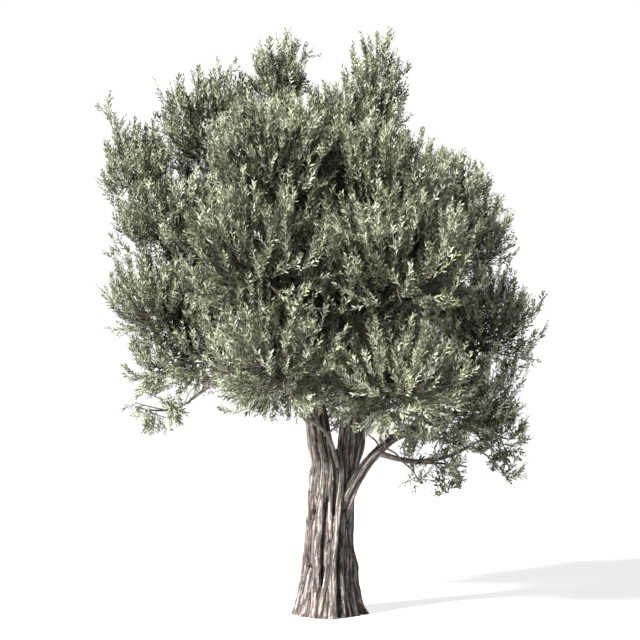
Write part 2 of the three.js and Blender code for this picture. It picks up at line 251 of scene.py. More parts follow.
def addNode(tree, kind, inputs=None, **settings):
    node = tree.nodes.new(kind)
    for name, value in settings.items():
        setattr(node, name, value)
    for key, value in (inputs or {}).items():
        if isinstance(value, bpy.types.NodeSocket):
            tree.links.new(value, node.inputs[key])
        else:
            node.inputs[key].default_value = value
    return node


def limbLines():
    lines = {}
    for name, limb in mainLimbs.items():
        carried = next(one for one, mass in masses.items() if mass[5] == name and mass[6] is None)
        last = np.array(limb["through"][-1])
        lines[name] = smoothLine(limb["through"] + [tuple(entryOf(carried, last))], limbs["stemPoints"])
    for number, (name, mass) in enumerate(masses.items()):
        if mass[6] is None:
            continue
        draw = seededRandom(limbs["firstSeed"] + number)
        start = placeAt(lines[mass[5]], mass[6])
        run = entryOf(name, start) - start
        sideways = unit(np.array((-run[1], run[0], 0.0)))
        points = []
        for share in (0, 0.33, 0.67, 1):
            loose = math.sin(math.pi * share) * np.linalg.norm(run) * limbs["sag"]
            sag = loose * -slimArches.get(name, -1)
            points.append(start + run * share + sideways * loose * draw(-1, 1) - upwards * sag)
        lines["bough_" + name] = smoothLine(points, limbs["boughPoints"])
    return lines


bark = {
    "radius": 0.236,
    "flare": 0.15,          # how much wider the trunk is at the ground
    "flareHeight": 0.6,
    "voxel": 0.0094,        # between points of the trunk's skin
    "smoothing": (0.5, 3),  # how strongly, and how many times
    "stemsTo": 2.32,        # the height where the trunk's skin hands over to the boughs'
    "core": 0.66,           # how far out the wood behind the strands stands, as a share of the radius
    "foot": 0.22,           # how much further it stands out at the ground
    "footHeight": 0.12,
    "coreSides": 72,
    "coreRings": 80,
    "coreBelow": 0.06,      # how far below the top of the crotch it ends
    "closing": 0.85,        # the share of its section that is gone there
    "coreWobble": (0.02, 14),
    "limbCore": 0.7,        # the same for the stems and the side bough
    "limbSides": 40,
    "limbRings": 120,
    "crotch": (1.36, 1.72),     # heights between which the strands part into the two stems
    "strandStep": 0.022,
    "strandSides": 18,
    "withTrunk": 0.4,       # how much of a strand's thickness goes with the trunk's
    "swell": (0.2, 0.1),    # how much thicker a strand is at the ground, and up to about where
    "fade": 0.2,            # over which a strand sinks away at an end above the ground
    "fadeCurve": 0.7,
    "fadeThin": 0.6,        # how much thinner, and how much further in, a strand is at such an end
    "fadeIn": 0.2,
    "stemStrand": 0.24,     # a strand's largest radius on a stem, as a share of the stem's
    "stemTwist": 14,        # degrees in a metre
    "wobbles": ((0.04, 9, 1), (0.03, 22, 2)),   # size, rate up the trunk, and times the strand's turn
    "sideTwist": 60,
    "sideWobble": (0.06, 40),
    "flatFoot": 0.03,       # below this height the relief points less and less down
    "ground": 0.004,        # and lower than this a point lies on the ground
    "furrow": 0.0042,
    "fineFurrow": 0.0026,
    "lump": 0.0045,
    "nearby": 24,           # places along the strands that each point is measured from
    "seam": 0.016,          # how near to two strands alike the bark is darker, painted shade between the strands
    "inside": 0.02,         # this far outside every strand, and a little more, the painted shade between strands is at its darkest
    "insideLess": 0.2,
    "strandShift": 0.31,    # keeps the fibres of one strand from going on in the next
    "creviceRounds": 20,
    "creviceDepth": 0.009,  # as deep as this below the surface around it, the bark is at its darkest: darker bark with painted shade
    "grooveShare": 0.7,     # how dark a groove in the relief is painted, darker bark with painted shade
    "openWood": 0.08,       # less hollow than this is open wood
}

# The strands of wood that run up the trunk and on into a stem. Each passes through places given by their
# height, turn from the front, and reach as a share of the trunk's radius. Then come the strand's own radius,
# the stem that it runs into, if any, and its turn and reach there.
trunkStrands = [
    (((0, -84, 1.0), (0.34, -72, 0.98), (0.75, -67, 1.0), (1.15, -69, 1.0), (1.4, -78, 1.0)), 0.046,
     "left_stem", -84, 1.04),
    (((0, -55, 0.96), (0.2, -53, 0.93), (0.6, -50, 0.8)), 0.05),
    (((1.0, -50, 0.82), (1.2, -49, 0.9), (1.4, -47, 0.96)), 0.036, "left_stem", -42, 1.02),
    (((0, -24, 1.0), (0.23, -26, 1.0), (0.47, -28, 1.0), (0.72, -32, 1.0), (0.96, -29, 1.0),
      (1.2, -24, 1.0), (1.4, -22, 1.0)), 0.045, "left_stem", 2, 1.0),
    (((0, -5, 0.98), (0.25, -3, 0.97), (0.45, 0, 0.9)), 0.045),
    (((0, -17, 1.0), (0.1, -15, 1.0), (0.31, -8, 1.0), (0.48, -2, 0.99), (0.7, 4, 0.97),
      (0.85, 8, 0.92)), 0.028),
    (((0.6, 8, 0.9), (0.75, 5.6, 0.94), (0.98, -1, 0.95), (1.36, -4, 0.97)), 0.025, "left_stem", 36, 1.0),
    (((0, 6, 1.1), (0.29, 6, 1.08), (0.54, 8, 1.07), (0.72, 12, 1.07), (0.86, 15, 1.07),
      (1.02, 18, 1.07), (1.19, 22, 1.06), (1.34, 24, 1.04)), 0.036, "right_stem", -60, 1.02),
    (((0, 25, 0.93), (0.4, 27, 0.93), (0.9, 34, 0.91), (1.3, 40, 0.93)), 0.034, "right_stem", -24, 0.98),
    (((0, 40, 0.88), (0.23, 38, 0.86), (0.48, 48, 0.86), (1.0, 52, 0.88), (1.3, 56, 0.93)), 0.03,
     "right_stem", 8, 1.0),
    (((0, 60, 0.92), (0.3, 57, 0.88), (0.7, 64, 0.86), (1.0, 70, 0.9), (1.3, 74, 0.96)), 0.036,
     "right_stem", 44, 0.98),
    (((0, 88, 1.09), (0.05, 88, 1.0), (0.1, 88, 0.96), (0.22, 88, 0.98), (0.34, 89, 0.95),
      (0.5, 90, 1.04), (0.66, 91, 0.88), (0.8, 92, 0.92), (1.0, 92, 0.95), (1.3, 94, 0.98)), 0.045,
     "right_stem", 86, 1.03),
    (((0, 116, 0.97), (0.6, 120, 0.93), (1.3, 128, 0.95)), 0.052, "right_stem", 124, 1.02),
    (((0, 148, 1.04), (0.6, 152, 1.03), (1.3, 158, 1.0)), 0.05, "right_stem", 164, 1.0),
    (((0, 181, 0.98), (0.7, 187, 0.96), (1.3, 190, 0.98)), 0.052, "right_stem", 204, 1.0),
    (((0, 209, 1.03), (0.6, 212, 1.02), (1.3, 214, 1.0)), 0.048, "left_stem", 166, 1.0),
    (((0, 235, 0.98), (0.7, 241, 0.97), (1.3, 240, 0.98)), 0.05, "left_stem", 206, 1.02),
    (((0, 256, 0.93), (0.5, 262, 0.92), (1.3, 262, 0.93)), 0.042, "left_stem", 244, 0.98),
    # deep between the others
    (((0.3, -50, 0.84), (0.5, -49, 0.8), (0.75, -49, 0.82), (1.1, -47, 0.82)), 0.034),
    (((0.1, -15, 0.8), (0.5, -12, 0.74), (1.0, -11, 0.76), (1.3, -10, 0.8)), 0.04, "left_stem", 20, 0.9),
    (((0.75, 8, 0.84), (1.0, 9, 0.8), (1.3, 12, 0.82)), 0.034, "left_stem", 56, 0.98),
    # the walls of the crotch
    (((1.1, 70, 0.3), (1.3, 60, 0.4)), 0.055, "left_stem", 86, 1.02),
    (((1.1, 120, 0.3), (1.3, 130, 0.4)), 0.055, "left_stem", 122, 1.0),
    (((1.1, 0, 0.3), (1.3, 20, 0.4)), 0.055, "right_stem", -100, 1.0),
    (((1.1, 160, 0.3), (1.3, 150, 0.4)), 0.05, "right_stem", -138, 1.0),
]
# those of the side bough: turn, and reach and radius as shares of the bough's radius
sideStrands = ((225, 1.0, 0.46), (320, 1.0, 0.42), (50, 1.0, 0.48), (135, 0.98, 0.44))


def trunkRadius(height):
    return bark["radius"] + bark["flare"] * np.exp(-height / bark["flareHeight"])


def trunkAxis(height):
    return np.stack([trunkLean * np.clip(height / trunkTop, 0, 1) ** 3, 0 * height, height], axis=-1)


def outward(turn):
    turn = np.radians(turn)
    return np.stack([np.sin(turn), -np.cos(turn), 0 * turn], axis=-1)


def framesAlong(line):
    # the heading at each point, and two directions square to it that never twist
    heading = np.gradient(line, axis=0)
    heading /= np.linalg.norm(heading, axis=1)[:, None]
    across = np.empty_like(line)
    last = np.array((1.0, 0.0, 0.0))
    for number, one in enumerate(heading):
        last = unit(last - one * (last @ one))
        across[number] = last
    return heading, across, np.cross(heading, across)


def ringMesh(line, radii, sides, level=False):
    # a closed tube of rings along a line; radii holds one row of radii for each ring
    steps = len(line) - 1
    if level:
        across, deep = np.array([(1.0, 0.0, 0.0)] * len(line)), np.array([(0.0, 1.0, 0.0)] * len(line))
    else:
        _, across, deep = framesAlong(line)
    angles = np.linspace(0, 2 * math.pi, sides, endpoint=False)
    radii = np.broadcast_to(np.asarray(radii, float).reshape(len(line), -1), (len(line), sides))
    x, y = radii * np.cos(angles), radii * np.sin(angles)
    points = line[:, None, :] + x[..., None] * across[:, None, :] + y[..., None] * deep[:, None, :]
    places = np.stack([x, y, np.broadcast_to(runOf(line)[:, None], x.shape)], axis=-1)
    faces = []
    for step in range(steps):
        for side in range(sides):
            a, b = step * sides + side, step * sides + (side + 1) % sides
            faces.append((a, b, b + sides, a + sides))
    faces.append(tuple(reversed(range(sides))))
    faces.append(tuple(range(steps * sides, (steps + 1) * sides)))
    return points.reshape(-1, 3), faces, places.reshape(-1, 3)


def joined(parts):
    # the points and the faces of several ring meshes, as one
    faces, total = [], 0
    for points, own, _ in parts:
        faces += [tuple(index + total for index in face) for face in own]
        total += len(points)
    return np.vstack([points for points, _, _ in parts]), faces


def limbRadius(name, share):
    foot, tip = mainLimbs[name]["thick"]
    return foot + (tip - foot) * share ** 0.85


def eased(height, knots, values):
    # passes by the named values without a sharp bend at each
    fine = np.linspace(knots[0], knots[-1], 60)
    smooth = np.interp(fine, knots, values)
    for _ in range(4):
        smooth[1:-1] = (smooth[:-2] + 2 * smooth[1:-1] + smooth[2:]) / 4
    return np.interp(height, fine, smooth)


def trunkStrand(lines, through, thick, stem=None, stemTurn=0, stemReach=0):
    # the middle line and the radii of one strand
    knots, turns, reaches = np.array(through, float).T
    high = bark["stemsTo"] if stem else knots[-1]
    height = np.linspace(knots[0], high, round((high - knots[0]) / bark["strandStep"]))
    radius = trunkRadius(height)
    own, (swell, swellHeight) = 1 - bark["withTrunk"], bark["swell"]
    thick = thick * (own + bark["withTrunk"] * radius / trunkRadius(1.0))
    thick = thick * (1 + swell * np.exp(-height / swellHeight))
    reach = eased(height, knots, reaches)
    if knots[0] > 0 or not stem:
        ends = ([knots[0]] if knots[0] > 0 else []) + ([] if stem else [high])
        fade = np.min([np.clip(np.abs(height - end) / bark["fade"], 0, 1) for end in ends], axis=0)
        sunk = 1 - fade ** bark["fadeCurve"]
        thick = thick * (1 - bark["fadeThin"] * sunk)
        reach = reach - bark["fadeIn"] * sunk
    line = trunkAxis(height) + outward(eased(height, knots, turns)) * (reach * radius - thick)[:, None]
    if stem:
        low, high = bark["crotch"]
        share = np.clip((height - low) / (high - low), 0, 1)
        share = share * share * (3 - 2 * share)
        path = lines[stem]
        along = np.interp(height, path[:, 2], np.linspace(0, 1, len(path)))
        middle = np.stack([np.interp(height, path[:, 2], path[:, axis]) for axis in range(3)], axis=1)
        stemRadius = limbRadius(stem, along)
        stemThick = np.minimum(thick, bark["stemStrand"] * stemRadius)
        way = outward(stemTurn + bark["stemTwist"] * (height - high))
        stemLine = middle + way * (stemReach * stemRadius - stemThick)[:, None]
        line += (stemLine - line) * share[:, None]
        thick = thick + (stemThick - thick) * share
    wobble = sum(size * np.sin(height * rate + times * turns[0]) for size, rate, times in bark["wobbles"])
    return line, thick * (1 + wobble)


def trunkCore():
    # the wood behind the strands, which closes below the crotch
    low, high = bark["crotch"]
    height = np.linspace(0, high - bark["coreBelow"], bark["coreRings"])
    closing = np.clip((height - low) / (height[-1] - low), 0, 1)
    share = bark["core"] + bark["foot"] * np.exp(-height / bark["footHeight"])
    wobble, rate = bark["coreWobble"]
    uneven = 1 + wobble * np.sin(height * rate)
    radius = trunkRadius(height) * share * np.sqrt(1 - bark["closing"] * closing ** 2) * uneven
    return ringMesh(trunkAxis(height), radius, bark["coreSides"], level=True)


def sideBoughStrands(part, along, radius):
    _, across, deep = framesAlong(part)
    wobble, rate = bark["sideWobble"]
    for turn, reach, thick in sideStrands:
        angle = np.radians(turn + bark["sideTwist"] * along)
        out = (reach - thick) * radius
        line = part + across * (out * np.cos(angle))[:, None] + deep * (out * np.sin(angle))[:, None]
        yield line, thick * radius * (1 + wobble * np.sin(along * rate + turn))


def makeTrunkSkin(lines):
    strands = [trunkStrand(lines, *strand) for strand in trunkStrands]
    parts = [ringMesh(line, radii, bark["strandSides"], level=True) for line, radii in strands]
    parts.append(trunkCore())
    for name in mainLimbs:
        line = lines[name]
        share = 1.0
        if name != "side_bough":
            share = np.searchsorted(line[:, 2], bark["stemsTo"]) / (len(line) - 1)
        part = evenly(line[:round(share * (len(line) - 1)) + 1], bark["limbRings"])
        along = np.linspace(0, share, len(part))
        radius = limbRadius(name, along)
        parts.append(ringMesh(part, radius * bark["limbCore"], bark["limbSides"]))
        if name == "side_bough":
            own = list(sideBoughStrands(part, along, radius))
            strands += own
            parts += [ringMesh(strand, radii, bark["strandSides"]) for strand, radii in own]
    skin = newPiece("trunk_skin", meshOf("trunk_skin", *joined(parts)))
    remesh = skin.modifiers.new("Remesh", "REMESH")
    remesh.mode, remesh.voxel_size = "VOXEL", bark["voxel"]
    smooth = skin.modifiers.new("Smooth", "SMOOTH")
    smooth.factor, smooth.iterations = bark["smoothing"]
    setPlain(skin)
    cutRelief(skin.data, strands)
    print("trunk skin", len(skin.data.polygons) * 2, "triangles")
    return skin


def cutRelief(mesh, strands):
    # moves the skin by the bark's relief, and stores what the bark's material reads
    places = readPoints(mesh, "co")
    grain, between = grainOf(places, strands)
    relief = np.array([reliefAt(place) for place in grain])
    normals = readPoints(mesh, "normal")
    normals[:, 2] *= np.clip(places[:, 2] / bark["flatFoot"], 0, 1)
    places += normals * relief[:, :1]
    places[:, 2] = np.where(places[:, 2] < bark["ground"], 0.0, places[:, 2])
    mesh.vertices.foreach_set("co", places.astype(np.float32).ravel())
    mesh.update()
    # painted shade: the bark is made darker in hollows, in the relief's grooves and between strands, partly
    # its own darker colour and partly shade put into the colour; below 0 marks the crests for a painted
    # highlight
    hollow = hollowness(mesh, places, bark["creviceRounds"], bark["creviceDepth"])
    creviceAndShade = np.maximum.reduce([hollow, bark["grooveShare"] * relief[:, 1], np.clip(between, -1, 1)])
    # the crests, where this is below 0, get paler bark with a painted highlight
    creviceAndShade = np.where(creviceAndShade > bark["openWood"], creviceAndShade, np.minimum(hollow, 0))  # below 0 on the crests
    mesh.polygons.foreach_set("use_smooth", np.ones(len(mesh.polygons), bool))
    storeAttribute(mesh, "grain", "FLOAT_VECTOR", grain)
    storeAttribute(mesh, "furrow", "FLOAT", creviceAndShade)
    mesh.update()


def grainOf(places, strands):
    # each point's place in its strand, as two offsets and the way along it, and how deep between strands
    # it lies
    middles = np.vstack([line for line, _ in strands])
    ways = np.vstack([framesAlong(line)[0] for line, _ in strands])
    radii = np.concatenate([radius for _, radius in strands])
    number = np.concatenate([[k] * len(line) for k, (line, _) in enumerate(strands)])
    run = np.concatenate([runOf(line) for line, _ in strands])
    tree = kdtree.KDTree(len(middles))
    for index, middle in enumerate(middles):
        tree.insert(middle, index)
    tree.balance()
    nearest = np.empty(len(places), int)
    seam = np.zeros(len(places))
    for k, place in enumerate(places):
        near = tree.find_n(place, bark["nearby"])
        found = sorted((distance - radii[index], index) for _, index, distance in near)
        gap, nearest[k] = found[0]
        other = next((one for one, index in found if number[index] != number[nearest[k]]), 1.0)
        seam[k] = 1 - (other - gap) / bark["seam"]
    off = places - middles[nearest]
    along = np.einsum("ij,ij->i", off, ways[nearest])
    off -= ways[nearest] * along[:, None]
    across = off[:, 0] + bark["strandShift"] * number[nearest]
    grain = np.stack([across, off[:, 1], run[nearest] + along], axis=1)
    outside = (np.linalg.norm(off, axis=1) - radii[nearest]) / bark["inside"]
    return grain, np.maximum(seam, outside - bark["insideLess"])


def readPoints(mesh, field):
    values = np.empty(len(mesh.vertices) * 3, np.float32)
    mesh.vertices.foreach_get(field, values)
    return values.reshape(-1, 3).astype(float)


def hollowness(mesh, places, rounds, deepest):
    # how far each point lies below the surface around it, 0 on open wood and 1 in a crevice
    edges = np.empty(len(mesh.edges) * 2, np.int32)
    mesh.edges.foreach_get("vertices", edges)
    a, b = edges[::2], edges[1::2]
    count = np.bincount(edges, minlength=len(places))[:, None]
    around = places.copy()
    for _ in range(rounds):
        total = np.zeros_like(around)
        for axis in range(3):
            total[:, axis] = (np.bincount(a, around[b, axis], len(places))
                              + np.bincount(b, around[a, axis], len(places)))
        around = 0.5 * around + 0.5 * total / count
    below = np.einsum("ij,ij->i", around - places, readPoints(mesh, "normal"))
    return np.clip(below / deepest, -1, 1)


fibres = {
    "sway": (4, 2.2, 0.02),         # rate across, rate along, and how far
    "wide": (0.036, 0.6, 0.13),     # size across, size along, and how wide the groove is
    "narrow": (0.02, 0.24, 0.16),
    "narrowShare": 0.6,
    "lumps": (0.07, 0.16),
    "lumpNoise": (0.9, 2.1, 4),     # roughness, step between octaves, and their count
}


def reliefAt(place):
    # the fibres of the wood at a place in a limb, and how much of a groove is there
    x, y, z = place
    rate, rateAlong, far = fibres["sway"]
    sway = noise.noise(Vector((x * rate, y * rate, z * rateAlong))) * far
    x, y = x + sway, y - sway
    size, sizeAlong, groove = fibres["wide"]
    cut = math.exp(-(noise.noise(Vector((x / size, y / size, z / sizeAlong))) / groove) ** 2)
    size, sizeAlong, groove = fibres["narrow"]
    smallCut = math.exp(-(noise.noise(Vector((x / size + 7, y / size, z / sizeAlong))) / groove) ** 2)
    size, sizeAlong = fibres["lumps"]
    lumps = noise.fractal(Vector((x / size, y / size + 3, z / sizeAlong)), *fibres["lumpNoise"])
    depth = bark["lump"] * lumps - bark["furrow"] * cut - bark["fineFurrow"] * smallCut
    return depth, max(cut, fibres["narrowShare"] * smallCut)


# sides, wobble, and how the radius goes down, for each kind of limb, and the rings along it
boughs = {
    "stem": (20, 0.14, 0.9),
    "bough": (10, 0.14, 0.85),
    "loose": (8, 0.16, 1.0),
    "stemRings": 90,
    "boughRings": 26,
    "overlap": 0.06,        # how far the stems' upper ends start inside the trunk's skin
    "stemTip": 0.8,         # as a share of the stem's own tip
    "slimTip": 0.5,         # a slim bough's tip, as a share of the usual one
    "leastTaper": 1.3,
    "perLength": 0.028,     # a bough's radius at its foot for each metre of its length
    "lumps": (1.3, 0.4),    # rates of the lumps round a limb and from ring to ring
    "ridges": (0.05, 3, 4),     # size, count round a limb, and turn along it
    "groove": (0.02, 0.12),     # size across and along
    "seedStep": 3.0,
    "looseSeed": 200.0,
}


def makeBoughs(lines, looseLines):
    parts, grain, furrow = [], [], []

    def addLimb(line, foot, tip, kind, offset):
        sides, wobble, power = boughs[kind]
        share = np.linspace(0, 1, len(line))[:, None]
        angle = np.linspace(0, 2 * math.pi, sides, endpoint=False)[None]
        rate, rateAlong = boughs["lumps"]
        lumps = np.array([[noise.noise(Vector((math.cos(one) * rate, math.sin(one) * rate,
                                               at * len(line) * rateAlong + offset)))
                           for one in angle[0]] for at in share[:, 0]])
        ridge, around, onward = boughs["ridges"]
        uneven = 1 + wobble * lumps + ridge * np.cos(around * angle + onward * share)
        parts.append(ringMesh(line, (foot + (tip - foot) * share ** power) * uneven, sides))
        place = parts[-1][2]
        grain.append(place + (offset, 0, 0))
        size, sizeAlong = boughs["groove"]
        for x, y, z in place:
            groove = noise.noise(Vector((x / size + offset, y / size, z / sizeAlong)))
            furrow.append(max(0.0, groove))

    for number, name in enumerate(("left_stem", "right_stem")):
        line = lines[name]
        top = np.searchsorted(line[:, 2], bark["stemsTo"] - boughs["overlap"])
        foot = limbRadius(name, top / (len(line) - 1))
        tip = mainLimbs[name]["thick"][1] * boughs["stemTip"]
        addLimb(evenly(line[top:], boughs["stemRings"]), foot, tip, "stem", number)
    for number, (name, line) in enumerate(lines.items()):
        if not name.startswith("bough_"):
            continue
        tip = boughTip * (boughs["slimTip"] if name[6:] in slimArches else 1)
        foot = max(tip * boughs["leastTaper"], runOf(line)[-1] * boughs["perLength"])
        addLimb(evenly(line, boughs["boughRings"]), foot, tip, "bough", boughs["seedStep"] * number)
    for number, (line, foot, tip, _) in enumerate(looseLines):
        addLimb(line, foot, tip, "loose", boughs["looseSeed"] + number)
    mesh = meshOf("boughs_bark", *joined(parts))
    mesh.polygons.foreach_set("use_smooth", np.ones(len(mesh.polygons), bool))
    storeAttribute(mesh, "grain", "FLOAT_VECTOR", np.vstack(grain))
    storeAttribute(mesh, "furrow", "FLOAT", furrow)
    print("boughs", len(mesh.polygons), "faces")
    return newPiece("boughs_bark", mesh)


trunkLook = {
    "stretch": 0.3, "streaks": 30, "blotches": 3.5, "crumbs": 52, "bump": 0.02, "cracks": 0.95,
    "crestsAndHighlights": 0.65,
    "brown": (0.085, 0.061, 0.053), "grey": (0.16, 0.132, 0.124), "pale": (0.42, 0.38, 0.37),
    "ochre": (0.27, 0.2, 0.14), "moss": (0.17, 0.165, 0.105), "creviceAndShade": (0.02, 0.014, 0.012),
    "crestAndHighlight": (0.58, 0.53, 0.515),
}
limbLook = {
    "stretch": 0.2, "streaks": 45, "blotches": 6, "crumbs": 110, "bump": 0.004, "cracks": 0.7,
    "crestsAndHighlights": 0.3,
    "brown": (0.12, 0.093, 0.075), "grey": (0.21, 0.18, 0.16), "pale": (0.36, 0.325, 0.3),
    "ochre": (0.22, 0.17, 0.12), "moss": (0.16, 0.16, 0.1), "creviceAndShade": (0.03, 0.022, 0.018),
    "crestAndHighlight": (0.5, 0.46, 0.43),
}


# where in the noises and in the furrow each tone starts and is full, and how much of it there is
barkTones = {
    "streakNoise": (7, 0.7),    # detail and roughness
    "blotchNoise": (4, 0.5),
    "crumbNoise": (6, 0.75),
    "streaks": (0.34, 0.5, 0.66),
    "warm": (0.5, 0.7, 0.55),
    "moss": (0.48, 0.36, 0.4),
    "cracks": (0.48, 0.4),
    "creviceAndShade": (0.05, 0.8, 1.0),
    "crestsAndHighlights": (-0.1, -0.7),
    "rough": (0, 1, 0.74, 0.98),
    "bump": 0.8,
    "specular": 0.2,
}


def noiseOf(tree, vector, scale, detail, roughness):
    return addNode(tree, "ShaderNodeTexNoise", {
        "Vector": vector, "Scale": scale, "Detail": detail, "Roughness": roughness}).outputs[0]


def rangeOf(tree, value, low, high, top, bottom=0.0):
    return addNode(tree, "ShaderNodeMapRange", {
        "Value": value, "From Min": low, "From Max": high, "To Min": bottom, "To Max": top}).outputs[0]


def mixOf(tree, share, under, colour):
    inputs = {"Factor": share, 6: under, 7: (*colour, 1)}
    return addNode(tree, "ShaderNodeMix", inputs, data_type="RGBA").outputs[2]


def barkMaterial(name, look):
    material = bpy.data.materials.new(name)
    material.use_nodes = True
    tree = material.node_tree
    tree.nodes.clear()
    grain = addNode(tree, "ShaderNodeAttribute", attribute_name="grain").outputs["Vector"]
    furrow = addNode(tree, "ShaderNodeAttribute", attribute_name="furrow").outputs["Fac"]
    along = addNode(tree, "ShaderNodeMapping", {"Vector": grain, "Scale": (1, 1, look["stretch"])}).outputs[0]
    streaks = noiseOf(tree, along, look["streaks"], *barkTones["streakNoise"])
    blotches = noiseOf(tree, grain, look["blotches"], *barkTones["blotchNoise"])
    crumbs = noiseOf(tree, along, look["crumbs"], *barkTones["crumbNoise"])
    # the wood's own colour, in streaks
    wood = addNode(tree, "ShaderNodeValToRGB", {"Fac": streaks})
    ramp = wood.color_ramp.elements
    low, middle, high = barkTones["streaks"]
    ramp[0].position, ramp[0].color = low, (*look["brown"], 1)
    ramp[1].position, ramp[1].color = high, (*look["pale"], 1)
    ramp.new(middle).color = (*look["grey"], 1)
    # warm and mossy patches, and fine dark cracks between the fibres
    warm = mixOf(tree, rangeOf(tree, blotches, *barkTones["warm"]), wood.outputs[0], look["ochre"])
    mossy = mixOf(tree, rangeOf(tree, blotches, *barkTones["moss"]), warm, look["moss"])
    cracks = rangeOf(tree, crumbs, *barkTones["cracks"], look["cracks"])
    # painted shade: darker bark in the crevices, grooves and seams, which also stands in for the shade that
    # falls there
    deep = rangeOf(tree, furrow, *barkTones["creviceAndShade"])
    dark = addNode(tree, "ShaderNodeMath", {0: deep, 1: cracks}, operation="MAXIMUM").outputs[0]
    colour = mixOf(tree, dark, mossy, look["creviceAndShade"])
    # painted highlight: paler bark on the convex crests, lighter than the lamps alone make it
    crestsAndHighlights = rangeOf(tree, furrow, *barkTones["crestsAndHighlights"], look["crestsAndHighlights"])
    highlighted = mixOf(tree, crestsAndHighlights, colour, look["crestAndHighlight"])
    bump = addNode(tree, "ShaderNodeBump", {
        "Height": crumbs, "Strength": barkTones["bump"], "Distance": look["bump"]})
    shader = addNode(tree, "ShaderNodeBsdfPrincipled", {
        "Base Color": highlighted, "Roughness": rangeOf(tree, streaks, *barkTones["rough"]),
        "Normal": bump.outputs[0], "Specular IOR Level": barkTones["specular"]})
    addNode(tree, "ShaderNodeOutputMaterial", {"Surface": shader.outputs[0]})
    return material


growth = {
    "seed": 40,
    "shoots": 19000,        # leafy shoots on the whole tree
    "twigsEach": 4,         # twigs on a branchlet
    "fewest": 6,            # branchlets in a mass
    "branchletEnd": (0.46, 0.93),   # shares of a mass's reach
    "branchletThick": (0.0085, 0.0045),
    "levels": 1.86,         # how far down a mass its branchlets end, where the whole way is 2
    "alongStem": (0.1, 0.95),
    "stemEnd": (0.15, 0.7),     # how far past a mass's heart its own stem ends, and in a hanging mass
    "stemThin": 0.009,
    "stemBend": 0.4,        # how far along, as a share, a mass's stem keeps its bough's heading
    "slimStem": 0.6,
    "lift": 0.8,            # how much the twigs turn up, more so in masses above the next share of the height
    "liftFrom": 0.4,
    "hangingLift": -0.35,
    "fullSize": 0.5,        # masses of a smaller reach than this have shorter twigs
    "sway": 0.06,
    "sag": 0.1,
    "skirtsBelow": 0.45,    # a mass lower than this share of the height has an underside that hangs,
    "otherDroop": 0.3,      # and the others' hang by this share of that
    "rises": (0.9, 0.3, 1.1),       # the usual share of the lift, more of it at the top, and less lower down
    "bare": 0.2,            # share of a branchlet without twigs
    "twigPlace": (0.2, 0.8),        # where a twig stands in its own stretch of the branchlet
    "twigAim": (0.5, 0.75, 0.35),   # shares of the branchlet's heading and of the way out, and how loose
    "twigLength": (0.1, 0.2),
    "twigThick": (0.0042, 0.0026),
    "twigSag": 0.01,
    "arch": (0.03, -0.06),  # how far a twig's end turns up, and one that hangs
    "shootPlaces": ((0.35, 0.26), (0.7, 0.26), (1.0, 0.14)),    # share of the twig, and how loosely aimed
    "shootAim": (0.3, 0.3, 1.25),   # shares of the twig's heading, of the way out, and of up
    "shootLength": (0.17, 0.34),
    "shootThick": (0.0024, 0.0012),
    "shortest": 0.08,
    "cutBack": 0.03,        # how much at a time a shoot is shortened until its tip is within the edge
    "curl": 0.1,            # how much a shoot bends, as a share of its length
    "curlTip": 0.3,         # and how far its tip goes with the bend
    "edge": (0.94, 1.09),   # how far the shoots' tips reach, as shares of the masses' reach
    "litDepth": 0.08,       # leaves keep their spray's tint, with no painted shade, down to here below a mass's surface,
    "fullShadeDepth": 0.3,       # and have the most painted shade from here in
    "darkest": 0.75,        # how much darker the painted shade makes a spray's tint, as a share
    "sprayTone": (0.4, 0.6, 0.05),  # shares of the branchlet's tone, the shoot's own, and a little more
    "leafSizes": (0.85, 1.12),
    "bark": (0.07, 0.06, 0.046),
    "barkRoughness": 0.85,
}
leaf = {
    "length": 0.068,
    "width": 0.022,
    "fold": 0.22,           # how far a leaf's edges stand up from its midrib, as a share of its width
    "spacing": 0.03,
    "stalk": 0.0015,
    "widestAt": 0.42,
    "alongShoot": (0.8, 1.0, 1.0, 0.72),    # the leaves' size at each point of a shoot
    "turnSpread": 0.9,
    "tilt": (0.35, 0.3, 0),
    "varied": (0.78, 1.12),
    "roughness": 0.48,
    "specular": 0.25,
    "kinds": ((57, 25, 1.0), (66, -45, 0.92), (49, 60, 0.9)),   # degrees of lean and roll, and size
}
tints = {
    "leaf_dark": (0.032, 0.034, 0.018),
    "leaf_green": (0.115, 0.123, 0.071),
    "leaf_sage": (0.255, 0.27, 0.181),
    "leaf_silver": (0.42, 0.436, 0.338),
    "leaf_fresh": (0.335, 0.353, 0.214),
}
tintShares = (0.15, 0.25, 0.3, 0.2, 0.1)


def growTwig(rng, root, heading, length, outer, rise, size, tone, limit, woods, shoots):
    # one twig, and the leafy shoots that it bears
    arch = upwards * growth["arch"][rise <= 0]
    twig = bentLine(root, root + heading * length * 0.5 - upwards * growth["twigSag"],
                    root + heading * length + arch, 3)
    woods.append((twig, np.linspace(*growth["twigThick"], 3)))
    for at, spread in growth["shootPlaces"]:
        base = placeAt(twig, at)
        onward, outwards, up = growth["shootAim"]
        aim = unit(onward * heading + outwards * outer + up * rise * upwards + rng.normal(0, spread, 3))
        reach = rng.uniform(*growth["shootLength"]) * size
        top = base + aim * reach
        while reach > growth["shortest"] and np.linalg.norm((top - hearts) / reaches, axis=1).min() > limit:
            reach -= growth["cutBack"]
            top = base + aim * reach
        if reach <= growth["shortest"]:
            continue
        curl = rng.normal(0, growth["curl"], 3) * reach + arch
        path = bentLine(base, base + aim * reach * 0.5 - curl * 0.5, top + curl * growth["curlTip"], 4)
        shoots.append((path, tintAt(rng, top, tone), rng.uniform(*growth["leafSizes"])))


